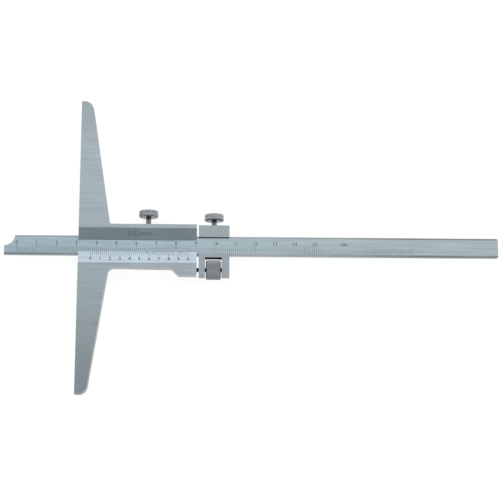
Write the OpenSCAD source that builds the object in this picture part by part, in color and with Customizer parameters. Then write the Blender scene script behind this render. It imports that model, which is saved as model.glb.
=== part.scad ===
// Vernier depth gauge with fine adjustment, lying on its back.
// Millimetres. Origin: centre of the measuring face, on the axis of the beam.
// +X runs along the beam, away from the measured work, +Y along the crosspiece, +Z towards the reader.

/* [Beam] */
// Length of the beam
beam_len = 250; // [220:5:320]
// Width of the beam, across the scale
beam_h = 10; // [9:0.5:12]
// Thickness of the beam
beam_t = 3; // [2.4:0.1:3.6]
// Width of the bevel along both front edges of the beam
beam_bevel_w = 1; // [0.4:0.1:1.2]
// Depth of the bevel along both front edges of the beam
beam_bevel_d = 0.8; // [0.3:0.1:1]
// Radius of the relief that leaves the narrow measuring tip
tip_relief_r = 5.3; // [4:0.1:6.5]
// Corner cut at the far end of the beam
end_corner = 0.5; // [0.2:0.1:1]
// Depth that the gauge reads as it lies
reading = 37.2; // [0:0.1:120]

/* [Scales] */
// Length of the main scale
scale_span = 200; // [150:10:200]
// Distance from the tip to the zero line, the same as from the measuring face to the vernier's zero line
zero_offset = 6.25; // [4:0.05:6.5]
// Width of an engraved line
line_w = 0.12; // [0.08:0.01:0.2]
// Depth of an engraved line
line_d = 0.06; // [0.03:0.01:0.1]
// Length of a millimetre line
line_short = 2.5; // [2:0.1:3]
// Length of a five millimetre line
line_mid = 3; // [2.5:0.1:4]
// Length of a ten millimetre line
line_long = 4.1; // [3.5:0.1:5]
// How far the main lines run on under the edge of the vernier
line_tuck = 0.4; // [0.1:0.1:0.5]
// Number of divisions of the vernier
vernier_divisions = 50; // [20:10:50]
// Main scale length that the vernier divides
vernier_span = 49; // [29:10:49]
// Length of a plain vernier line
vernier_short = 1.7; // [1:0.1:2]
// Length of a numbered vernier line
vernier_long = 2.4; // [1.8:0.1:3]

/* [Crosspiece] */
// Length of the measuring face
base_len = 150; // [100:5:200]
// Thickness of the crosspiece, the frame and the clamp
body_t = 7; // [6:0.5:9]
// Width of the crosspiece at its ends
base_tip_w = 5.5; // [5:0.1:8]
// Width of the crosspiece where it meets the upper edge of the frame
base_upper_root_w = 15.5; // [12:0.1:20]
// Width of the crosspiece where it meets the lower edge of the frame
base_lower_root_w = 15.2; // [12:0.1:20]
// Radius of the outer corner at each end
base_corner_r = 4.8; // [2:0.1:5]
// Fillet between the crosspiece and the upper edge of the frame
fillet_upper_r = 1.6; // [1:0.1:3]
// Fillet between the crosspiece and the lower edge of the frame
fillet_lower_r = 3; // [1:0.1:4]

/* [Frame] */
// Length of the frame, from the measuring face
frame_len = 59.5; // [56:0.1:70]
// Wall of the frame above the gib
frame_top_wall = 4.5; // [3.5:0.1:6]
// Wall of the frame below the beam, at the crosspiece
frame_low_wall = 6.3; // [5:0.1:8]
// How much lower that wall reaches where the boss begins
frame_low_drop = 0.35; // [0:0.05:0.6]
// How far the upper bevel reaches over the beam
upper_lip = 2.1; // [1.5:0.1:2.6]
// How far the vernier reaches over the beam
vernier_lip = 1.7; // [1.2:0.1:2.2]
// Flat strip above the upper bevel
upper_strip_w = 2; // [1:0.1:2.5]
// Flat strip below the vernier bevel
lower_strip_w = 2.2; // [1:0.1:3]
// Thickness of the upper lip at its edge
upper_edge_t = 0.4; // [0.3:0.05:0.8]
// Thickness of the vernier at its edge
vernier_edge_t = 0.22; // [0.15:0.01:0.5]
// Length of the boss along its lower edge
boss_len = 9.2; // [7:0.1:14]
// Length of the slope that leads down to the boss
boss_slope = 3.6; // [2:0.1:6]
// Radius of both bends of that slope
boss_r = 2.5; // [1:0.1:2.8]
// Depth of the boss below the fine-adjustment screw
boss_below = 3.1; // [2.4:0.1:4]

/* [Gibs] */
// Thickness of the gib strips
gib_t = 1; // [0.8:0.1:1.4]
// Play between a released gib and the beam
gib_play = 0.14; // [0.13:0.01:0.2]
// Gap between a gib and the wall behind it
gib_back_gap = 0.06; // [0.04:0.01:0.1]
// Distance from each end of a gib to the end of its housing
gib_inset = 1.6; // [1:0.1:3]
// Depth of the seat for the screw's dog point
gib_seat_d = 0.4; // [0.3:0.05:0.6]

/* [Clamp] */
// Gap between the frame and the clamp
clamp_gap = 1; // [1:0.1:3]
// Wall of the clamp on the frame's side of the nut
clamp_near_wall = 3.2; // [2.5:0.1:5]
// Wall of the clamp beyond the nut
clamp_far_wall = 3.9; // [2.5:0.1:5]
// Wall of the clamp above its gib
clamp_top_wall = 4.1; // [3.5:0.1:6]
// How far the upper lip of the clamp reaches over the beam
clamp_upper_lip = 0.6; // [0.5:0.1:1.6]
// How far the lower lip of the clamp reaches over the beam
clamp_lower_lip = 0.5; // [0.3:0.1:1]
// Web between the beam and the slot for the nut
clamp_web = 1.3; // [1:0.1:2]
// Legs of the clamp below the fine-adjustment screw
clamp_below = 3.6; // [2.6:0.1:4.5]
// Radius in the upper corners of the slot
slot_corner_r = 0.7; // [0.4:0.1:1]

/* [Fine adjustment] */
// Diameter of the knurled nut
nut_d = 9.9; // [8:0.1:12]
// Length of the knurled nut
nut_w = 7.5; // [5:0.1:9]
// Bevel at each end of the nut
nut_bevel = 0.6; // [0.3:0.1:1]
// Gap between the nut and each side of its slot
nut_side_gap = 0.45; // [0.3:0.05:1.2]
// Gap between the nut and the roof of its slot
nut_roof_gap = 0.87; // [0.4:0.01:1.5]
// Number of ridges around the nut
nut_ridges = 60; // [36:2:72]
// Diameter of the threaded rod
rod_d = 2.2; // [2:0.1:3]
// Length of the rod in the boss
rod_grip = 7; // [5:0.1:9]
// Distance from the far end of the rod to the far face of the clamp
rod_recess = 0.3; // [0.2:0.1:1]
// Diameter of the cross pin in the boss
pin_d = 0.8; // [0.6:0.1:1]
// Distance from the end of the frame to the cross pin
pin_inset = 4; // [3:0.1:5]

/* [Lock screws] */
// Diameter of the knurled heads
head_d = 9.9; // [8:0.1:12]
// Height of the knurled heads
head_h = 3.6; // [2.5:0.1:4.5]
// Bevel around the edges of the heads
head_bevel = 0.45; // [0.2:0.05:0.7]
// Number of ridges around a head
head_ridges = 44; // [30:2:60]
// Depth of the ridges on the heads and the nut
ridge_d = 0.18; // [0.1:0.01:0.3]
// Diameter of the screw shanks
shank_d = 2.6; // [2:0.1:3]
// Diameter of the dog point that sits in the gib
dog_d = 1.6; // [1.2:0.1:1.9]
// Distance from the measuring face to the frame's lock screw
frame_screw_x = 35; // [20:0.1:45]
// Height of the frame screw's head above the frame
frame_screw_rise = 3.9; // [3:0.1:6]
// Height of the clamp screw's head above the clamp
clamp_screw_rise = 2.7; // [2:0.1:5]
// Bevel at the mouth of the screw holes
mouth_bevel = 0.3; // [0.1:0.1:0.5]

/* [Fits] */
// Play between the beam and each wall of its channel
slide_gap = 0.03; // [0.02:0.01:0.06]
// Radial play of a thread or a pin in its hole
thread_gap = 0.03; // [0.02:0.01:0.06]
// Radial play of the rod in the walls of the clamp
rod_play = 0.08; // [0.05:0.01:0.1]
// Gap under the tip of a screw, a rod or a pin
seat_gap = 0.05; // [0.03:0.01:0.1]

/* [Hidden] */
$fn = 96;

over = 1;
corner_steps = 12;
front = body_t / 2;
edge_y = beam_h / 2;
channel_low = -edge_y - slide_gap;
gib_low = edge_y + gib_play;
channel_top = gib_low + gib_t + gib_back_gap;
channel_z = beam_t / 2 + slide_gap;
gib_half = beam_t / 2 - slide_gap;
tip_x = -reading;
scale_zero_x = tip_x + zero_offset;

frame_top = channel_top + frame_top_wall;
frame_low = channel_low - frame_low_wall;
upper_edge_y = edge_y - upper_lip;
upper_edge_z = channel_z + upper_edge_t;
vernier_edge_y = -edge_y + vernier_lip;
vernier_edge_z = channel_z + vernier_edge_t;
upper_bevel_y = frame_top - upper_strip_w;
vernier_bevel_y = frame_low + lower_strip_w;
vernier_tilt = atan2(front - vernier_edge_z, vernier_edge_y - vernier_bevel_y);
line_low = vernier_edge_y - line_tuck;

slot_roof = channel_low - clamp_web;
rod_y = slot_roof - nut_roof_gap - nut_d / 2;
boss_low = rod_y - boss_below;
clamp_low = rod_y - clamp_below;
clamp_top = channel_top + clamp_top_wall;
clamp_x = frame_len + clamp_gap;
slot_x = clamp_x + clamp_near_wall;
slot_w = nut_w + 2 * nut_side_gap;
clamp_len = clamp_near_wall + slot_w + clamp_far_wall;
clamp_end = clamp_x + clamp_len;
nut_x = slot_x + nut_side_gap;
clamp_screw_x = clamp_x + clamp_len / 2;
rod_start = frame_len - rod_grip;
rod_end = clamp_end - rod_recess;
pin_top = rod_y + rod_d / 2 + seat_gap;
dog_len = gib_seat_d + gib_back_gap - seat_gap;

steel = [0.66, 0.71, 0.74];
knurled_steel = [0.55, 0.57, 0.59];
blackened = [0.07, 0.07, 0.08];

function unit(v) = v / norm(v);

// Angle from a to b, the short way round
function turn(a, b) = let (d = b - a) d > 180 ? d - 360 : d < -180 ? d + 360 : d;

// Points of an arc of radius r that replaces corner b between its neighbours a and c
function rounded(a, b, c, r) =
    let (u = unit(a - b), v = unit(c - b))
    let (half = acos(u * v) / 2)
    let (middle = b + unit(u + v) * r / sin(half))
    let (from = b + u * r / tan(half) - middle)
    let (to = b + v * r / tan(half) - middle)
    let (start = atan2(from.y, from.x), sweep = turn(start, atan2(to.y, to.x)))
    [for (i = [0:corner_steps])
        let (a = start + sweep * i / corner_steps)
        middle + r * [cos(a), sin(a)]];

// Closed outline of corners [x, y, radius]
function outline(corners) =
    let (n = len(corners))
    let (at = function(i) let (p = corners[(i + n) % n]) [p.x, p.y])
    [for (i = [0:n - 1]) each corners[i].z > 0 ? rounded(at(i - 1), at(i), at(i + 1), corners[i].z) : [at(i)]];

// Extrudes a profile drawn in Y and Z along X
module along_x(from, to) {
    translate([from, 0, 0]) rotate([90, 0, 90]) linear_extrude(to - from) children();
}

// Turns a shape built around Z so that it stands along +Y
module upright_y() {
    rotate([-90, 0, 0]) children();
}

// Turns a shape built around Z so that it lies along +X
module lying_x() {
    rotate([0, 90, 0]) children();
}

module channel(from, to) {
    along_x(from, to)
        translate([channel_low, -channel_z]) square([channel_top - channel_low, 2 * channel_z]);
}

// Straight ridges around a disc, cut off at both ends by cones that run on past the rim
module knurled_disc(d, h, bevel, ridges) {
    clear_r = d / 2 + ridge_d;
    clear_h = bevel + ridge_d;
    intersection() {
        linear_extrude(h)
            polygon([for (i = [0:2 * ridges - 1])
                let (r = d / 2 - (i % 2) * ridge_d)
                r * [cos(i * 180 / ridges), sin(i * 180 / ridges)]]);
        rotate_extrude()
            polygon([
                [0, 0], [d / 2 - bevel, 0], [clear_r, clear_h],
                [clear_r, h - clear_h], [d / 2 - bevel, h], [0, h]
            ]);
    }
}

module main_scale() {
    for (i = [0:scale_span]) {
        length = i % 10 == 0 ? line_long : i % 5 == 0 ? line_mid : line_short;
        translate([scale_zero_x + i - line_w / 2, line_low, beam_t / 2 - line_d])
            cube([line_w, length, line_d + over]);
    }
}

// Lines on the sloped face of the vernier, a little closer together than those of the beam
module vernier_scale() {
    pitch = vernier_span / vernier_divisions;
    translate([zero_offset, vernier_edge_y, vernier_edge_z]) rotate([-vernier_tilt, 0, 0])
        for (i = [0:vernier_divisions]) {
            length = i % 5 == 0 ? vernier_long : vernier_short;
            translate([i * pitch - line_w / 2, -length, -line_d])
                cube([line_w, length + line_tuck, line_d + over]);
        }
}

// Hole for a lock screw, from the gib out through the top
module screw_hole(x, top) {
    hole_r = shank_d / 2 + thread_gap;
    translate([x, channel_top - over, 0]) upright_y()
        cylinder(r = hole_r, h = top - channel_top + 2 * over);
    translate([x, top - mouth_bevel, 0]) upright_y()
        cylinder(r1 = hole_r, r2 = hole_r + 2 * mouth_bevel, h = 2 * mouth_bevel);
}

module base_frame() {
    slope_start = frame_len - boss_len - boss_slope;
    color(steel) difference() {
        linear_extrude(body_t, center = true) polygon(outline([
            [0, -base_len / 2, 0],
            [base_tip_w, -base_len / 2, base_corner_r],
            [base_lower_root_w, frame_low, fillet_lower_r],
            [slope_start, frame_low - frame_low_drop, boss_r],
            [slope_start + boss_slope, boss_low, boss_r],
            [frame_len, boss_low, 0],
            [frame_len, frame_top, 0],
            [base_upper_root_w, frame_top, fillet_upper_r],
            [base_tip_w, base_len / 2, base_corner_r],
            [0, base_len / 2, 0]
        ]));
        channel(-over, frame_len + over);
        along_x(-over, frame_len + over) polygon([
            [upper_bevel_y, front + over], [upper_bevel_y, front],
            [upper_edge_y, upper_edge_z], [upper_edge_y, 0],
            [vernier_edge_y, 0], [vernier_edge_y, vernier_edge_z],
            [vernier_bevel_y, front], [vernier_bevel_y, front + over]
        ]);
        vernier_scale();
        screw_hole(frame_screw_x, frame_top);
        translate([rod_start - seat_gap, rod_y, 0]) lying_x()
            cylinder(d = rod_d + 2 * thread_gap, h = rod_grip + seat_gap + over);
        translate([frame_len - pin_inset, boss_low - over, 0]) upright_y()
            cylinder(d = pin_d + 2 * thread_gap, h = pin_top + seat_gap - boss_low + over);
    }
}

module beam() {
    far_x = tip_x + beam_len;
    color(steel) difference() {
        along_x(tip_x, far_x) polygon([
            [-edge_y, -beam_t / 2], [edge_y, -beam_t / 2],
            [edge_y, beam_t / 2 - beam_bevel_d], [edge_y - beam_bevel_w, beam_t / 2],
            [-edge_y + beam_bevel_w, beam_t / 2], [-edge_y, beam_t / 2 - beam_bevel_d]
        ]);
        translate([tip_x, edge_y, -beam_t]) cylinder(r = tip_relief_r, h = 2 * beam_t);
        for (side = [-1, 1])
            translate([far_x, side * edge_y, 0]) rotate([0, 0, 45])
                cube([end_corner * sqrt(2), end_corner * sqrt(2), 2 * beam_t], center = true);
        main_scale();
    }
}

// Strip between the beam and the wall above it, with a seat for the screw
module gib(from, to, screw_x) {
    difference() {
        translate([from, gib_low, -gib_half]) cube([to - from, gib_t, 2 * gib_half]);
        translate([screw_x, gib_low + gib_t - gib_seat_d, 0]) upright_y()
            cylinder(d = dog_d + 2 * thread_gap, h = gib_seat_d + over);
    }
}

module frame_gib() {
    color(knurled_steel) gib(gib_inset, frame_len - gib_inset, frame_screw_x);
}

module clamp_gib() {
    color(knurled_steel) gib(clamp_x + gib_inset, clamp_end - gib_inset, clamp_screw_x);
}

// Thumb screw with a dog point, standing on +Y
module lock_screw(x, top, rise) {
    translate([x, channel_top, 0]) upright_y() {
        shank_h = top + rise - channel_top;
        translate([0, 0, -dog_len]) cylinder(d = dog_d, h = dog_len + shank_d / 2);
        cylinder(d = shank_d, h = shank_h + head_h / 2);
        translate([0, 0, shank_h]) knurled_disc(head_d, head_h, head_bevel, head_ridges);
    }
}

module frame_lock_screw() {
    color(knurled_steel) lock_screw(frame_screw_x, frame_top, frame_screw_rise);
}

module clamp_lock_screw() {
    color(knurled_steel) lock_screw(clamp_screw_x, clamp_top, clamp_screw_rise);
}

module fine_screw() {
    color(blackened) difference() {
        translate([rod_start, rod_y, 0]) lying_x() cylinder(d = rod_d, h = rod_end - rod_start);
        translate([frame_len - pin_inset, rod_y, 0]) upright_y()
            cylinder(d = pin_d + 2 * thread_gap, h = 2 * rod_d, center = true);
    }
}

module screw_pin() {
    color(knurled_steel)
        translate([frame_len - pin_inset, boss_low, 0]) upright_y() cylinder(d = pin_d, h = pin_top - boss_low);
}

module clamp_body() {
    color(steel) difference() {
        linear_extrude(body_t, center = true) polygon(outline([
            [clamp_x, clamp_low, 0],
            [slot_x, clamp_low, 0],
            [slot_x, slot_roof, slot_corner_r],
            [slot_x + slot_w, slot_roof, slot_corner_r],
            [slot_x + slot_w, clamp_low, 0],
            [clamp_end, clamp_low, 0],
            [clamp_end, clamp_top, 0],
            [clamp_x, clamp_top, 0]
        ]));
        channel(clamp_x - over, clamp_end + over);
        translate([clamp_x - over, -edge_y + clamp_lower_lip, 0])
            cube([clamp_len + 2 * over, beam_h - clamp_upper_lip - clamp_lower_lip, body_t]);
        screw_hole(clamp_screw_x, clamp_top);
        translate([clamp_x - over, rod_y, 0]) lying_x()
            cylinder(d = rod_d + 2 * rod_play, h = clamp_len + 2 * over);
    }
}

module fine_nut() {
    color(knurled_steel) translate([nut_x, rod_y, 0]) lying_x() difference() {
        knurled_disc(nut_d, nut_w, nut_bevel, nut_ridges);
        translate([0, 0, -over]) cylinder(d = rod_d + 2 * thread_gap, h = nut_w + 2 * over);
    }
}

base_frame();
beam();
frame_gib();
frame_lock_screw();
fine_screw();
screw_pin();
clamp_body();
clamp_gib();
clamp_lock_screw();
fine_nut();
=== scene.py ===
"""Looks of a vernier depth gauge: finishes, scale markings, knurls and threads, studio and camera. Metres."""

import math
from typing import Callable, NamedTuple

import bmesh
import bpy
from mathutils import Matrix, Vector


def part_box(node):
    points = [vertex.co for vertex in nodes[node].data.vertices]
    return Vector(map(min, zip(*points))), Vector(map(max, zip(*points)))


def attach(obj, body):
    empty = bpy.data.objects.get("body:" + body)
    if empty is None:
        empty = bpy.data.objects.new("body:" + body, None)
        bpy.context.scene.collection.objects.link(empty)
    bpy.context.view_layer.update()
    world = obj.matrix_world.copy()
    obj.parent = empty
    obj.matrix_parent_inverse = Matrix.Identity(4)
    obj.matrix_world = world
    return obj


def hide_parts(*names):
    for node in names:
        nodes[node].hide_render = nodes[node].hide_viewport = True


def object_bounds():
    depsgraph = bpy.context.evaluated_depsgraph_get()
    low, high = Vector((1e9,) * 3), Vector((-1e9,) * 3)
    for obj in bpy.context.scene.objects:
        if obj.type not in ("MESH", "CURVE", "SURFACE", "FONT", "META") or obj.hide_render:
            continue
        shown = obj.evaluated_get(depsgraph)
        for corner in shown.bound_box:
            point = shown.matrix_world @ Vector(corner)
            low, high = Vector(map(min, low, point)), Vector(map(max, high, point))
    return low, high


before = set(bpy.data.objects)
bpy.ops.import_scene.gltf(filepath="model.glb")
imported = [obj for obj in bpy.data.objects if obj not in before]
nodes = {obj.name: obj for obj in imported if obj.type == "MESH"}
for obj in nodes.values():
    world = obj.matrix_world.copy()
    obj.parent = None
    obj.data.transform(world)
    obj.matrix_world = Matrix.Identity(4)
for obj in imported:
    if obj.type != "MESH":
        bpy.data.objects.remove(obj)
cad_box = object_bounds()
scene = bpy.context.scene

MM = 0.001

# Camera, solved from the scale and the outline in the photo of 500 by 500 pixels
CAMERA_TARGET = Vector((86.45, -1.6, 0)) * MM
CAMERA_DISTANCE = 654 * MM
CAMERA_TILT = math.radians(11.4)
CAMERA_TURN = math.radians(-2.07)
CAMERA_ROLL = math.radians(0.05)
FOCAL_PX = 1291
PHOTO_PX = 500
SENSOR_MM = 36
CAMERA_CLIP = (0.01, 20)

# Scales, as they are cut into the beam and the vernier
LINE_W = 0.12 * MM
LINE_D = 0.06 * MM
FILL_BELOW = 0.01 * MM
ZERO_OFFSET = 6.25 * MM
SCALE_SPAN = 200
NUMBERED_CM = 15
UNIT_AT_MM = 165
LINE_SHORT = 2.5 * MM
LINE_MID = 3.0 * MM
LINE_LONG = 4.1 * MM
LINE_LOW = -3.7 * MM
NUMERAL_H = 1.65 * MM
NUMERAL_Y = 0.55 * MM
NUMERAL_BOLD = 0.025
NUMERAL_SPACING = 1.25
UNIT_H = 0.7 * NUMERAL_H
INK_T = 0.01 * MM

# Vernier and upper bevel of the frame
VERNIER_DIVISIONS = 50
VERNIER_SPAN = 49 * MM
VERNIER_SHORT = 1.7 * MM
VERNIER_LONG = 2.4 * MM
VERNIER_EDGE = Vector((0, -3.3, 1.75)) * MM
VERNIER_BACK = Vector((0, -9.13, 3.5)) * MM
VERNIER_NUMERAL_H = 1.85 * MM
VERNIER_NUMERAL_Y = -4.7 * MM
UPPER_EDGE = Vector((0, 2.9, 1.93)) * MM
UPPER_BACK = Vector((0, 8.7, 3.5)) * MM
MARK_Y = 1.95 * MM
MARKS = (("0.02", 2.4 * MM, 6.1 * MM, 27.75 * MM), ("mm", 1.95 * MM, 5.9 * MM, 34.0 * MM))

# Threads and knurls of the turned parts. A crest of 1 is sharp, and the higher the number, the flatter it is.
CHAMFER = 0.1 * MM
THREAD_D = 0.16 * MM
THREAD_STEPS = 8
THREAD_CREST = 1.3
THREAD_SHARP_DEG = 40
KNURL_CREST = 1.5
KNURL_SHARP_DEG = 25

# Lock screws. The rim and the floor of the dish in the head's end are shares of the head's radius. Painted shade goes
# by the distance below the head on the shank, and by the distance from the shank on the underside of the head and on
# its lower bevel. The end and the dish of the head are darker too.
HEAD_H = 3.6 * MM
HEAD_BEVEL = 0.5 * MM
HEAD_SCALLOP = 0.38 * MM
HEAD_CROWN = 0.05 * MM
HEAD_DISH = 0.15 * MM
DISH_RIM = 0.5
DISH_FLOOR = 0.2
HEAD_LAND = 1.3 * MM
HEAD_RIDGES = 16
HEAD_RIDGE_STEPS = 12
HEAD_KNURL_D = 0.27 * MM
HEAD_KNURL_PITCH = 1.5 * MM
HEAD_KNURL_STEP = 0.08 * MM
SHANK_R = 1.3 * MM
SHANK_PITCH = 0.45 * MM
THREAD_END = 4.2 * MM
DOG_R = 0.8 * MM
DOG_H = 0.41 * MM
THREAD_END_SHADE = (1.1, 1.5)
SHANK_SHADE = ((1.3 * MM, (1.3, 1.7)), (0.6 * MM, (1.5, 2)), (0.1 * MM, (1.5, 2)))
UNDER_SHADE = ((0.1 * MM, (0.9, 1.3)), (0.5 * MM, (0.2, 0.5)))
UNDER_RIM_SHADE = (0.1, 0.5)
LOWER_BEVEL_SHADE = (0.2, 0.7)
END_DARKENING = (1, 1)
DISH_DARKENING = (1.2, 1.2)

# Nut and rod
NUT_KNURL_D = 0.18 * MM
NUT_RIDGES = 60
NUT_RIDGE_STEPS = 8
NUT_STEP = 0.5 * MM
NUT_BEVEL = 0.6 * MM
NUT_SHOULDER = 0.36 * MM
NUT_BORE_R = 1.13 * MM
# Painted shade on the nut's bevelled ends and in its bore
NUT_END_SHADE = (1.7, 1.7)
ROD_PITCH = 0.5 * MM
ROD_LEAD_IN = 0.2 * MM
ROD_AROUND = 32

# Finishes: their noise in cells per metre
LONG_BRUSH = (40, 1200, 1200)
SHORT_BRUSH = (900, 2600, 2600)
GROUND = (60, 2800, 2800)
TURNED = (2500, 2500, 2500)
CLOUD = (45, 45, 45)
SPECK = (5200, 5200, 5200)
CUT_MOTTLE = (1300, 1300, 1300)
BLACK_WEAR = (1400, 1400, 1400)
INK_WEAR = (900, 900, 900)
# How much the noise changes the tone and the roughness of steel, and how deep its marks look
CLOUD_TONE = (0.95, 1.05)
CLOUD_ROUGH = 0.02
BRUSH_TONE = (1.02, 0.88)
BRUSH_ROUGH = 0.05
BRUSH_D = 0.02 * MM
SPECK_D = 0.015 * MM
# A normal's Z at which a slope, a wall or any side shows its painted shade in full, and at which it shows none of it
SLOPED_Z = (0.85, 0.98)
WALL_Z = (0.2, 0.7)
SIDE_Z = (0.3, 0.98)
EDGE_ROUND = 0.15 * MM

# Painted reflection and shade on the beam's bevels along the beam, by X in metres
BEAM_BEVEL_SHADE = (
    (-0.017, (0.55, 0.63, 0.69)), (0.082, (0.74, 0.77, 0.82)), (0.127, (0.64, 0.67, 0.68)),
    (0.178, (0.43, 0.45, 0.47)),
)
# Painted shade: how the tone of the crosspiece darkens towards its ends, by Y in metres
BASE_SHADE_BY_Y = (
    (-0.073, (0.87, 0.86, 0.83)), (-0.045, (0.92, 0.915, 0.88)), (-0.022, (1.01, 1.03, 1.03)),
    (0.046, (1.02, 1.02, 1.01)), (0.066, (0.88, 0.87, 0.855)),
)
# Boxes with a tone set apart: a box in millimetres, its tone and how metallic it is
# The -Y end of the lower arm is darker
BASE_PATCHES = ((((2.0, 8.5), (-75.5, -73.2), (-3.6, 3.3)), (0.2, 0.2, 0.19), 1.0),)
CLAMP_SHADE_AND_LIGHT = (
    # Painted shade: the front of the slot's roof is black, and painted reflection: its back is pale
    (((63.7, 72.1), (-7.1, -6.2), (-1.0, 3.6)), (0.008, 0.008, 0.008), 0.0),
    (((63.7, 72.1), (-7.1, -6.2), (-3.6, -1.0)), (0.68, 0.68, 0.66), 1.0),
    # Painted light on the underside of the clamp's upper lip
    (((60.0, 76.5), (4.2, 4.6), (1.4, 3.6)), (1.0, 1.0, 0.98), 1.0),
)

# Studio: the tent's colour by angle from the zenith, in degrees towards +Y, at its -X and its +X side
TENT_LEFT = (
    (-90, (0.36, 0.38, 0.4)), (-66, (0.33, 0.36, 0.38)), (-40, (0.29, 0.325, 0.355)), (-22, (0.33, 0.38, 0.42)),
    (-6, (0.13, 0.15, 0.16)), (4, (0.12, 0.127, 0.12)), (12, (0.87, 1.0, 1.1)), (15.5, (0.83, 0.95, 1.04)),
    (22, (0.54, 0.62, 0.68)), (50, (0.8, 0.91, 0.98)), (62, (0.76, 0.85, 0.92)), (78, (0.36, 0.4, 0.43)),
    (90, (0.12, 0.14, 0.15)),
)
TENT_RIGHT = (
    (-90, (0.62, 0.64, 0.62)), (-66, (0.66, 0.68, 0.66)), (-40, (0.29, 0.325, 0.355)), (-22, (0.33, 0.38, 0.42)),
    (-6, (0.15, 0.15, 0.15)), (4, (0.14, 0.133, 0.12)), (12, (1.18, 1.12, 1.08)), (15.5, (1.12, 1.06, 1.02)),
    (22, (0.66, 0.64, 0.65)), (50, (0.86, 0.93, 0.98)), (62, (0.52, 0.55, 0.57)), (78, (0.2, 0.2, 0.2)),
    (90, (0.08, 0.08, 0.08)),
)
TENT_BLEND = (-0.25, 0.12)
# How much brighter the tent is far to both sides, by the X of the direction
TENT_SIDES = ((-0.9, (1.2, 1.28, 1.35)), (-0.4, (1, 1, 1)), (0.4, (1, 1, 1)), (0.9, (1.18, 1.18, 1.18)))
# Strength of the tent at the horizon, and the Z of the direction from which it is full
TENT_HORIZON = 0.3
TENT_FULL_Z = 0.3
KEY_AT = (0.15, 0.85, 0.85)
KEY_SIZE = (1.4, 0.7)
KEY_RADIANCE = 0.3
FLOOR_TONE = (0.34, 0.33, 0.315, 1)
FLOOR_LIFT = 0.87
FLOOR_HALF = 3


# Node graphs
class Graph:
    """Adds and links shader nodes of one material or world."""

    def __init__(self, owner):
        owner.use_nodes = True
        self.tree = owner.node_tree
        self.tree.nodes.clear()

    def add(self, kind, inputs=None, **settings):
        node = self.tree.nodes.new("ShaderNode" + kind)
        for name, value in settings.items():
            setattr(node, name, value)
        for name, value in (inputs or {}).items():
            if isinstance(value, bpy.types.NodeSocket):
                self.tree.links.new(value, node.inputs[name])
            else:
                node.inputs[name].default_value = value
        return node

    def noise(self, scale, detail=2.0, rough=0.5):
        """Noise in the part's own frame, scaled per axis in cells per metre."""
        place = self.add("Mapping", {"Vector": self.add("TexCoord").outputs["Object"], "Scale": scale})
        return self.add(
            "TexNoise", {"Vector": place.outputs["Vector"], "Scale": 1.0, "Detail": detail, "Roughness": rough}
        ).outputs["Fac"]

    def ranged(self, value, low, high, at=(0.3, 0.7)):
        span = {"Value": value, "From Min": at[0], "From Max": at[1], "To Min": low, "To Max": high}
        return self.add("MapRange", span).outputs["Result"]

    def times(self, *values):
        """Product of numbers or sockets."""
        result = values[0]
        for value in values[1:]:
            result = self.add("Math", {0: result, 1: value}, operation="MULTIPLY").outputs[0]
        return result

    def inside(self, place, spans):
        """1 where a place in the part's own frame lies within its spans in millimetres, else 0."""
        axes = self.add("SeparateXYZ", {"Vector": place}).outputs
        tests = []
        for axis, (low, high) in zip(("X", "Y", "Z"), spans):
            tests.append(self.add("Math", {0: axes[axis], 1: low * MM}, operation="GREATER_THAN").outputs[0])
            tests.append(self.add("Math", {0: axes[axis], 1: high * MM}, operation="LESS_THAN").outputs[0])
        return self.times(*tests)

    def mixed(self, share, first, second):
        mix = self.add("Mix", data_type="RGBA")
        for socket, value in ((mix.inputs["Factor"], share), (mix.inputs[6], first), (mix.inputs[7], second)):
            if isinstance(value, bpy.types.NodeSocket):
                self.tree.links.new(value, socket)
            else:
                socket.default_value = (*value, 1.0) if isinstance(value, tuple) else value
        return mix.outputs[2]

    def ramp(self, value, low, high, stops):
        """Colours at stops of a value between low and high, with smooth steps between them."""
        node = self.add("ValToRGB", {"Fac": self.ranged(value, 0.0, 1.0, (low, high))})
        node.color_ramp.interpolation = "EASE"
        marks = node.color_ramp.elements
        while len(marks) < len(stops):
            marks.new(0.5)
        for mark, (at, colour) in zip(marks, stops):
            mark.position = (at - low) / (high - low)
            mark.color = (*colour, 1)
        return node.outputs["Color"]

    def bump(self, height, strength, distance):
        return self.add("Bump", {"Height": height, "Strength": strength, "Distance": distance}).outputs["Normal"]

    def end(self, shader, kind="OutputMaterial"):
        self.tree.links.new(shader.outputs[0], self.add(kind).inputs["Surface"])


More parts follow.
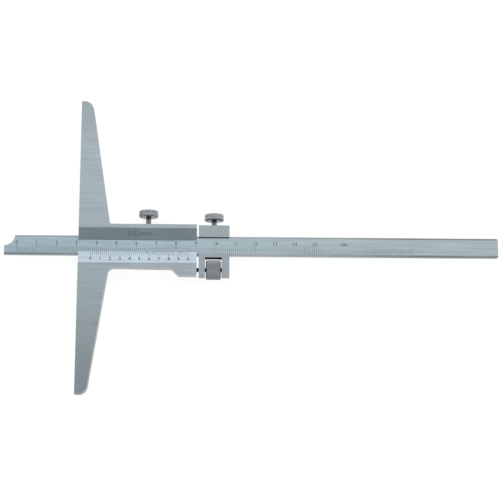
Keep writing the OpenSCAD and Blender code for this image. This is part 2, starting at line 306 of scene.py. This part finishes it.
def steel(
    name, tone, brush, rough, grain=0.12, anisotropy=0.0, bevel_shade=None, side=None, shade_by_y=None, patches=(), groove_shade=None,
    soil=None, mottle=0.0, rim=1.0
):
    """Ground or satin steel: brush marks stretched by the scale `brush`, a fine grain and slight clouding.

    `bevel_shade` are painted shade and reflection on sloped edges by X, and `side` is painted shade on the milled
    sides.
    `shade_by_y` scales the tone by Y as painted shade. Each patch is a box with a tone set apart. `groove_shade` and
    `soil` are the tones of painted shade at a cut of 1 and 2, and `mottle` is how much the tone of a cut piece
    varies. `rim` is the tint of what it mirrors where it is seen edge on.
    """
    material = bpy.data.materials.new(name)
    g = Graph(material)
    lines = g.noise(brush, detail=3.0, rough=0.6)
    cloud = g.noise(CLOUD, detail=3.0)
    speck = g.noise(SPECK, detail=1.0)
    colour = tone
    # Painted shade: the milled sides take a darker tone, and the sloped edges their painted shade and reflection by X
    if side:
        upright = g.add("SeparateXYZ", {"Vector": g.add("TexCoord").outputs["Normal"]}).outputs["Z"]
        upright = g.add("Math", {0: upright}, operation="ABSOLUTE").outputs[0]
        if bevel_shade:
            along = g.add("SeparateXYZ", {"Vector": g.add("TexCoord").outputs["Object"]}).outputs["X"]
            sloped = g.ramp(along, bevel_shade[0][0], bevel_shade[-1][0], bevel_shade)
            colour = g.mixed(g.ranged(upright, 1.0, 0.0, SLOPED_Z), colour, sloped)
            colour = g.mixed(g.ranged(upright, 1.0, 0.0, WALL_Z), colour, side)
        else:
            colour = g.mixed(g.ranged(upright, 1.0, 0.0, SIDE_Z), colour, side)
    # Painted shade, darker towards the ends of the crosspiece
    if shade_by_y:
        across = g.add("SeparateXYZ", {"Vector": g.add("TexCoord").outputs["Object"]}).outputs["Y"]
        scaled = {0: colour, 1: g.ramp(across, shade_by_y[0][0], shade_by_y[-1][0], shade_by_y)}
        colour = g.add("VectorMath", scaled, operation="MULTIPLY").outputs["Vector"]
    metallic = 1.0
    # Boxes with a tone set apart; in the clamp these are painted shade, reflection and light
    for spans, patch, metal in patches:
        share = g.inside(g.add("TexCoord").outputs["Object"], spans)
        colour = g.mixed(share, colour, patch)
        if metal < 1:
            metallic = g.times(metallic, g.ranged(share, 1.0, metal, (0, 1)))
    worn = g.times(g.ranged(cloud, *CLOUD_TONE), g.ranged(lines, *BRUSH_TONE))
    if groove_shade:
        # Painted shade: darker in the cuts, and past a cut of 1 under the heads and at the nut's ends
        cut = g.add("Attribute", attribute_name="cut").outputs["Fac"]
        colour = g.mixed(cut, colour, groove_shade)
        colour = g.mixed(g.add("Math", {0: cut, 1: 1.0}, operation="SUBTRACT").outputs[0], colour, soil)
        worn = g.times(worn, g.ranged(g.noise(CUT_MOTTLE), 1 - mottle, 1 + mottle))
    colour = g.add("VectorMath", {0: colour, "Scale": worn}, operation="SCALE").outputs["Vector"]
    streaks = g.ranged(lines, rough - BRUSH_ROUGH, rough + BRUSH_ROUGH)
    clouds = g.ranged(cloud, -CLOUD_ROUGH, CLOUD_ROUGH)
    roughness = g.add("Math", {0: streaks, 1: clouds}, operation="ADD").outputs[0]
    relief = g.bump(lines, grain, BRUSH_D)
    fine = g.add("Bump", {"Height": speck, "Strength": grain, "Distance": SPECK_D, "Normal": relief})
    g.end(g.add("BsdfPrincipled", {
        "Base Color": colour, "Metallic": metallic, "Roughness": roughness, "Specular IOR Level": 0.0,
        "Specular Tint": (rim, rim, rim, 1), "Anisotropic": anisotropy, "Normal": fine.outputs["Normal"],
    }))
    return material


def blackened_steel():
    """Black oxide over a cut thread, worn to dull grey on the crests here and there."""
    material = bpy.data.materials.new("blackened_steel")
    g = Graph(material)
    wear = g.noise(BLACK_WEAR, detail=4.0)
    colour = g.mixed(g.ranged(wear, 0.0, 1.0, (0.55, 0.8)), (0.012, 0.012, 0.014), (0.06, 0.06, 0.065))
    g.end(g.add("BsdfPrincipled", {
        "Base Color": colour, "Metallic": 0.6, "Roughness": g.ranged(wear, 0.35, 0.55),
        "Normal": g.bump(wear, 0.2, 0.02 * MM),
    }))
    return material


def scale_ink(name, dark, pale):
    """Dark filling of the engraved lines and numerals, thinner in places."""
    material = bpy.data.materials.new(name)
    g = Graph(material)
    worn = g.noise(INK_WEAR, detail=3.0)
    colour = g.mixed(g.ranged(worn, 0.0, 1.0), dark, pale)
    g.end(g.add("BsdfPrincipled", {
        "Base Color": colour, "Roughness": g.ranged(worn, 0.45, 0.65), "Normal": g.bump(worn, 0.2, 0.005 * MM),
    }))
    return material


# The side tones below are painted shade on the milled sides, and the groove and darkest tones painted shade in cuts
satin = steel(
    "satin_steel", (0.6, 0.665, 0.705), LONG_BRUSH, 0.34, anisotropy=0.3, side=(0.34, 0.35, 0.325), shade_by_y=BASE_SHADE_BY_Y,
    patches=BASE_PATCHES
)
satin_beam = steel(
    "satin_steel_beam", (0.63, 0.76, 0.815), LONG_BRUSH, 0.34, anisotropy=0.3, bevel_shade=BEAM_BEVEL_SHADE,
    side=(0.38, 0.395, 0.37)
)
satin_clamp = steel(
    "satin_steel_clamp", (0.56, 0.635, 0.66), SHORT_BRUSH, 0.36, side=(0.26, 0.27, 0.265), patches=CLAMP_SHADE_AND_LIGHT
)
knurled = steel(
    "knurled_steel", (0.79, 0.81, 0.82), TURNED, 0.3, grain=0.2, groove_shade=(0.44, 0.45, 0.455),
    soil=(0.06, 0.06, 0.065), mottle=0.2, rim=0.45
)
knurled_nut = steel(
    "knurled_steel_nut", (0.8, 0.81, 0.81), TURNED, 0.7, grain=0.2, groove_shade=(0.42, 0.42, 0.42),
    soil=(0.06, 0.06, 0.065), mottle=0.05, rim=0.0
)
dull = steel("dull_steel", (0.36, 0.37, 0.38), GROUND, 0.45)
black = blackened_steel()
ink = scale_ink("scale_ink", (0.02, 0.023, 0.028), (0.05, 0.055, 0.06))
numeral_ink = scale_ink("numeral_ink", (0.14, 0.16, 0.175), (0.25, 0.28, 0.3))


def dress(node, material):
    """Gives a node of the frame its finish."""
    mesh = nodes[node].data
    mesh.materials.clear()
    mesh.materials.append(material)


def soften(node, width):
    """Rounds the machined edges of a node by a small amount."""
    weld = nodes[node].modifiers.new("weld", "WELD")
    weld.merge_threshold = 0.001 * MM
    bevel = nodes[node].modifiers.new("edges", "BEVEL")
    bevel.width = width
    bevel.segments = 2
    bevel.limit_method = "ANGLE"
    bevel.angle_limit = math.radians(35)
    bevel.use_clamp_overlap = True


def add_piece(name, bm, material, body):
    """Turns a bmesh into a piece that rides on a body."""
    mesh = bpy.data.meshes.new(name)
    bmesh.ops.recalc_face_normals(bm, faces=bm.faces)
    bm.to_mesh(mesh)
    bm.free()
    mesh.materials.append(material)
    piece = bpy.data.objects.new(name, mesh)
    scene.collection.objects.link(piece)
    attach(piece, body)
    return piece


def add_block(bm, low, high, placed=Matrix.Identity(4)):
    """Adds a block between two corners."""
    centre = (Vector(low) + Vector(high)) / 2
    size = Vector(high) - Vector(low)
    grow = Matrix.Translation(centre) @ Matrix.Diagonal((*size, 1))
    bmesh.ops.create_cube(bm, size=1, matrix=placed @ grow)


def slope_frame(edge, back):
    """Frame at the thin edge of a sloped face: X along the gauge, Y across the face towards +Y, Z out of it."""
    across = (edge - back).normalized() if edge.y > back.y else (back - edge).normalized()
    along = Vector((1, 0, 0))
    out = along.cross(across)
    return Matrix.Translation(edge) @ Matrix((along, across, out)).transposed().to_4x4()


def add_text(bm, text, height, placed, width=None, bold=0.0, spacing=1.0):
    """Adds thin raised lettering, centred on X and standing on Y = 0, of a height and, if it is given, a width."""
    curve = bpy.data.curves.new("lettering", "FONT")
    curve.body = text
    curve.align_x = "CENTER"
    curve.offset = bold
    curve.space_character = spacing
    curve.resolution_u = 3
    holder = bpy.data.objects.new("lettering", curve)
    scene.collection.objects.link(holder)
    bpy.context.view_layer.update()
    grow = height / holder.dimensions.y
    widen = width / holder.dimensions.x if width else grow
    curve.extrude = INK_T / 2 / grow
    bpy.context.view_layer.update()
    mesh = bpy.data.meshes.new_from_object(holder.evaluated_get(bpy.context.evaluated_depsgraph_get()))
    mesh.transform(placed @ Matrix.Translation((0, 0, INK_T / 2)) @ Matrix.Diagonal((widen, grow, grow, 1)))
    bm.from_mesh(mesh)
    bpy.data.meshes.remove(mesh)
    bpy.data.objects.remove(holder)
    bpy.data.curves.remove(curve)


# Scale markings
def mark_beam():
    low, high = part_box("beam")
    zero_x = low.x + ZERO_OFFSET
    top = high.z
    lines = bmesh.new()
    for i in range(SCALE_SPAN + 1):
        x = zero_x + i * MM
        length = LINE_LONG if i % 10 == 0 else LINE_MID if i % 5 == 0 else LINE_SHORT
        bottom = (x - LINE_W / 2, LINE_LOW, top - LINE_D)
        add_block(lines, bottom, (x + LINE_W / 2, LINE_LOW + length, top - FILL_BELOW))
    add_piece("beam_lines", lines, ink, "beam")
    numerals = bmesh.new()
    for i in range(NUMBERED_CM + 1):
        at = Matrix.Translation((zero_x + 10 * i * MM, NUMERAL_Y, top))
        add_text(numerals, str(i), NUMERAL_H, at, bold=NUMERAL_BOLD, spacing=NUMERAL_SPACING)
    at = Matrix.Translation((zero_x + UNIT_AT_MM * MM, NUMERAL_Y, top))
    add_text(numerals, "mm", UNIT_H, at, bold=NUMERAL_BOLD)
    add_piece("beam_numerals", numerals, numeral_ink, "beam")


def mark_vernier():
    placed = slope_frame(VERNIER_EDGE, VERNIER_BACK)
    lines, numerals = bmesh.new(), bmesh.new()
    for i in range(VERNIER_DIVISIONS + 1):
        x = ZERO_OFFSET + i * VERNIER_SPAN / VERNIER_DIVISIONS
        length = VERNIER_LONG if i % 5 == 0 else VERNIER_SHORT
        add_block(lines, (x - LINE_W / 2, -length, -LINE_D), (x + LINE_W / 2, 0, -FILL_BELOW), placed)
        if i % 5 == 0:
            at = Matrix.Translation((x, VERNIER_NUMERAL_Y, 0))
            add_text(numerals, str(i // 5 % 10), VERNIER_NUMERAL_H, placed @ at, bold=NUMERAL_BOLD)
    add_piece("vernier_lines", lines, ink, "base")
    add_piece("vernier_numerals", numerals, numeral_ink, "base")


def mark_resolution():
    placed = slope_frame(UPPER_EDGE, UPPER_BACK)
    mark = bmesh.new()
    for text, height, width, x in MARKS:
        add_text(mark, text, height, placed @ Matrix.Translation((x, MARK_Y, 0)), width)
    add_piece("resolution_mark", mark, numeral_ink, "base")


# Turned and knurled parts
def wave(turns):
    """0 at whole turns and 1 half way between them."""
    return 1 - abs(2 * (turns % 1) - 1)


def diamonds(count, pitch):
    """Knurl of crossed grooves: how deep it is cut, from 0 to 1, at an angle and a height."""
    def depth(angle, height):
        around = count * angle / math.tau
        return 1 - min(1, KNURL_CREST * min(wave(around + height / pitch), wave(around - height / pitch)))
    return depth


def ridges(count):
    """Knurl of straight ridges."""
    def depth(angle, height):
        return 1 - wave(count * angle / math.tau)
    return depth


def thread(pitch):
    """Screw thread: how deep it is cut at an angle and a height."""
    def depth(angle, height):
        return 1 - min(1, THREAD_CREST * wave(angle / math.tau - height / pitch))
    return depth


class Ring(NamedTuple):
    """Ring of a turned body. A full cut takes `depth` off its radius and moves it by `lift`.

    `soil` is painted shade: how much darker it is than its cut, midway between the quarter turns and at them.
    """
    height: float
    radius: float
    depth: float = 0
    cut: Callable | None = None
    lift: float = 0
    soil: tuple = (0, 0)


def steps(low, high, step):
    count = max(1, round((high - low) / step))
    return [low + (high - low) * i / count for i in range(count + 1)]


def add_turned(bm, rings, around, placed):
    """Adds a body turned about Z."""
    # The cut layer holds how deep a vertex is cut, plus its painted shade
    layer = bm.verts.layers.float.new("cut")
    loops = []
    for ring in rings:
        loop = []
        for i in range(around):
            angle = math.tau * i / around
            share = ring.cut(angle, ring.height) if ring.cut else 0
            r = ring.radius - ring.depth * share
            # Painted shade, darkest at the quarter turns
            quarter_turn_shade = (math.cos(4 * angle) + 1) / 2
            at = Vector((r * math.cos(angle), r * math.sin(angle), ring.height + ring.lift * share))
            vert = bm.verts.new(placed @ at)
            vert[layer] = share + ring.soil[0] + (ring.soil[1] - ring.soil[0]) * quarter_turn_shade
            loop.append(vert)
        loops.append(loop)
    for low, high in zip(loops, loops[1:]):
        for i in range(around):
            j = (i + 1) % around
            bm.faces.new((low[i], low[j], high[j], high[i]))
    bm.faces.new(reversed(loops[0]))
    bm.faces.new(loops[-1])


def smooth_by_angle(piece, degrees):
    piece.data.shade_smooth()
    piece.data.set_sharp_from_angle(angle=math.radians(degrees))


def make_lock_screw(node, body):
    """Thumb screw with a diamond knurl on its head, a thread and a dog point, standing along +Y."""
    low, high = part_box(node)
    head_r = (high.x - low.x) / 2
    centre_x = (high.x + low.x) / 2
    total = high.y - low.y
    head_low = total - HEAD_H
    knurl = diamonds(HEAD_RIDGES, HEAD_KNURL_PITCH)
    cut = thread(SHANK_PITCH)
    thread_rings = steps(DOG_H + CHAMFER, THREAD_END, SHANK_PITCH / THREAD_STEPS)
    rim_rings = steps(head_low + HEAD_BEVEL, total - HEAD_BEVEL, HEAD_KNURL_STEP)
    rings = [Ring(0, DOG_R - CHAMFER), Ring(CHAMFER, DOG_R), Ring(DOG_H, DOG_R), Ring(DOG_H, SHANK_R - THREAD_D)]
    rings += [Ring(h, SHANK_R, THREAD_D, cut) for h in thread_rings]
    # Painted shade on the shank, darker towards the head, and on the underside of the head near the shank
    rings += [Ring(THREAD_END + CHAMFER, SHANK_R, soil=THREAD_END_SHADE)]
    rings += [Ring(head_low - below, SHANK_R, soil=soil) for below, soil in SHANK_SHADE]
    rings += [Ring(head_low, SHANK_R + outside, soil=soil) for outside, soil in UNDER_SHADE]
    rings += [
        Ring(head_low, head_r - HEAD_LAND, soil=UNDER_RIM_SHADE),
        Ring(head_low + CHAMFER, head_r - HEAD_BEVEL, cut=knurl, lift=HEAD_SCALLOP, soil=LOWER_BEVEL_SHADE),
    ]
    rings += [Ring(h, head_r, HEAD_KNURL_D, knurl) for h in rim_rings]
    rings += [
        Ring(total - HEAD_CROWN, head_r - HEAD_BEVEL, cut=knurl, lift=-HEAD_SCALLOP),
        Ring(total - HEAD_CROWN, head_r - HEAD_LAND, soil=END_DARKENING),
        Ring(total, head_r * DISH_RIM, soil=END_DARKENING),
        Ring(total - HEAD_DISH, head_r * DISH_FLOOR, soil=DISH_DARKENING),
    ]
    bm = bmesh.new()
    upright = Matrix.Translation((centre_x, low.y, 0)) @ Matrix.Rotation(math.radians(-90), 4, "X")
    add_turned(bm, rings, HEAD_RIDGES * HEAD_RIDGE_STEPS, upright)
    piece = add_piece(node + "_knurled", bm, knurled, body)
    smooth_by_angle(piece, KNURL_SHARP_DEG)
    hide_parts(node)


def lying(low, high):
    """Frame of a body that is turned about +X, at the -X end of its box."""
    return Matrix.Translation((low.x, (low.y + high.y) / 2, 0)) @ Matrix.Rotation(math.radians(90), 4, "Y")


def make_nut():
    """Fine-adjustment nut with straight ridges, lying along +X."""
    low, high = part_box("fine_nut")
    radius, width = (high.z - low.z) / 2, high.x - low.x
    root = radius - NUT_KNURL_D
    inner = root - NUT_BEVEL
    cut = ridges(NUT_RIDGES)
    edge = [(0, NUT_BORE_R), (0, inner), (NUT_SHOULDER, root)]
    # The nut's bevelled ends and its bore carry painted shade
    rings = [Ring(width, NUT_BORE_R, soil=NUT_END_SHADE)] + [Ring(h, r, soil=NUT_END_SHADE) for h, r in edge]
    rings += [Ring(h, radius, NUT_KNURL_D, cut) for h in steps(NUT_BEVEL, width - NUT_BEVEL, NUT_STEP)]
    rings += [Ring(width - h, r, soil=NUT_END_SHADE) for h, r in reversed(edge)]
    bm = bmesh.new()
    add_turned(bm, rings, NUT_RIDGES * NUT_RIDGE_STEPS, lying(low, high))
    # The first and the last ring are the same, so the two caps go and the bore closes on itself
    caps = [f for f in bm.faces if len(f.verts) > 4]
    bmesh.ops.delete(bm, geom=caps, context="FACES_ONLY")
    bmesh.ops.remove_doubles(bm, verts=bm.verts, dist=0.0001 * MM)
    piece = add_piece("fine_nut_knurled", bm, knurled_nut, "fine_nut")
    smooth_by_angle(piece, KNURL_SHARP_DEG)
    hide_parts("fine_nut")


def make_rod():
    """Blackened rod with its fine thread, lying along +X."""
    low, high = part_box("fine_screw")
    radius, length = (high.z - low.z) / 2, high.x - low.x
    cut = thread(ROD_PITCH)
    thread_rings = steps(ROD_LEAD_IN, length - ROD_LEAD_IN, ROD_PITCH / THREAD_STEPS)
    rings = [Ring(0, radius - THREAD_D)]
    rings += [Ring(h, radius, THREAD_D, cut) for h in thread_rings]
    rings += [Ring(length, radius - THREAD_D - CHAMFER)]
    bm = bmesh.new()
    add_turned(bm, rings, ROD_AROUND, lying(low, high))
    piece = add_piece("fine_screw_threaded", bm, black, "base")
    smooth_by_angle(piece, THREAD_SHARP_DEG)
    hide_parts("fine_screw")


# Studio
def make_world():
    """Light tent: its tone changes from the front horizon over the zenith to the back, and dims at the horizon."""
    world = bpy.data.worlds.new("studio")
    scene.world = world
    g = Graph(world)
    way = g.add("SeparateXYZ", {"Vector": g.add("TexCoord").outputs["Generated"]}).outputs
    lean = g.add("Math", {0: way["Y"], 1: way["Z"]}, operation="ARCTAN2").outputs[0]
    lean = g.add("Math", {0: lean}, operation="DEGREES").outputs[0]
    right = g.ranged(way["X"], 0.0, 1.0, TENT_BLEND)
    colour = g.mixed(right, g.ramp(lean, -90, 90, TENT_LEFT), g.ramp(lean, -90, 90, TENT_RIGHT))
    aside = g.ramp(way["X"], -1, 1, TENT_SIDES)
    colour = g.add("VectorMath", {0: colour, 1: aside}, operation="MULTIPLY").outputs["Vector"]
    dim = g.ranged(way["Z"], TENT_HORIZON, 1.0, (0.0, TENT_FULL_Z))
    strength = g.add("Math", {0: g.add("LightPath").outputs["Is Camera Ray"], 1: dim}, operation="MAXIMUM").outputs[0]
    tent = g.mixed(g.add("LightPath").outputs["Is Camera Ray"], colour, (1.0, 1.0, 1.0))
    g.end(g.add("Background", {"Color": tent, "Strength": strength}), "OutputWorld")


def add_softbox(name, location, size, radiance):
    """Rectangular softbox aimed at the gauge."""
    data = bpy.data.lights.new(name, "AREA")
    data.shape = "RECTANGLE"
    data.size, data.size_y = size
    data.energy = radiance * math.pi * size[0] * size[1]
    lamp = bpy.data.objects.new(name, data)
    scene.collection.objects.link(lamp)
    lamp.location = location
    lamp.rotation_mode = "QUATERNION"
    lamp.rotation_quaternion = (CAMERA_TARGET - Vector(location)).to_track_quat("-Z", "Y")


def add_floor():
    """Pale floor under the lowest point of the gauge, which shows as white and keeps the gauge's shadow."""
    bm = bmesh.new()
    bmesh.ops.create_grid(bm, x_segments=1, y_segments=1, size=FLOOR_HALF)
    mesh = bpy.data.meshes.new("floor")
    bm.to_mesh(mesh)
    bm.free()
    floor = bpy.data.objects.new("floor", mesh)
    scene.collection.objects.link(floor)
    floor.location.z = cad_box[0].z
    material = bpy.data.materials.new("floor")
    g = Graph(material)
    rays = g.add("LightPath").outputs
    seen = g.add("Math", {0: rays["Is Camera Ray"], 1: rays["Is Glossy Ray"]}, operation="MAXIMUM").outputs[0]
    seen = g.add("Math", {0: seen, 1: rays["Is Transmission Ray"]}, operation="MAXIMUM").outputs[0]
    lift = g.add("Math", {0: seen, 1: FLOOR_LIFT}, operation="MULTIPLY").outputs[0]
    paper = g.add("BsdfDiffuse", {"Color": FLOOR_TONE})
    glow = g.add("Emission", {"Color": (1, 1, 1, 1), "Strength": lift})
    g.end(g.add("AddShader", {0: paper.outputs[0], 1: glow.outputs[0]}))
    mesh.materials.append(material)


def add_camera():
    data = bpy.data.cameras.new("camera")
    data.sensor_width = SENSOR_MM
    data.lens = FOCAL_PX / PHOTO_PX * SENSOR_MM
    data.clip_start, data.clip_end = CAMERA_CLIP
    camera = bpy.data.objects.new("camera", data)
    scene.collection.objects.link(camera)
    turned = (
        Matrix.Rotation(CAMERA_TURN, 4, "Y")
        @ Matrix.Rotation(CAMERA_TILT, 4, "X")
        @ Matrix.Rotation(CAMERA_ROLL, 4, "Z")
    )
    camera.matrix_world = Matrix.Translation(CAMERA_TARGET) @ turned @ Matrix.Translation((0, 0, CAMERA_DISTANCE))
    scene.camera = camera


add_camera()
for node, finish in {
    "base_frame": satin, "beam": satin_beam, "clamp_body": satin_clamp, "frame_gib": dull, "clamp_gib": dull,
    "screw_pin": dull, "fine_screw": black, "fine_nut": knurled_nut, "frame_lock_screw": knurled,
    "clamp_lock_screw": knurled,
}.items():
    dress(node, finish)
for node in ("base_frame", "clamp_body"):
    soften(node, EDGE_ROUND)
mark_beam()
mark_vernier()
mark_resolution()
make_lock_screw("frame_lock_screw", "frame_lock_screw")
make_lock_screw("clamp_lock_screw", "clamp_lock_screw")
make_nut()
make_rod()
make_world()
add_softbox("key", KEY_AT, KEY_SIZE, KEY_RADIANCE)
add_floor()
scene.view_settings.view_transform = "Standard"
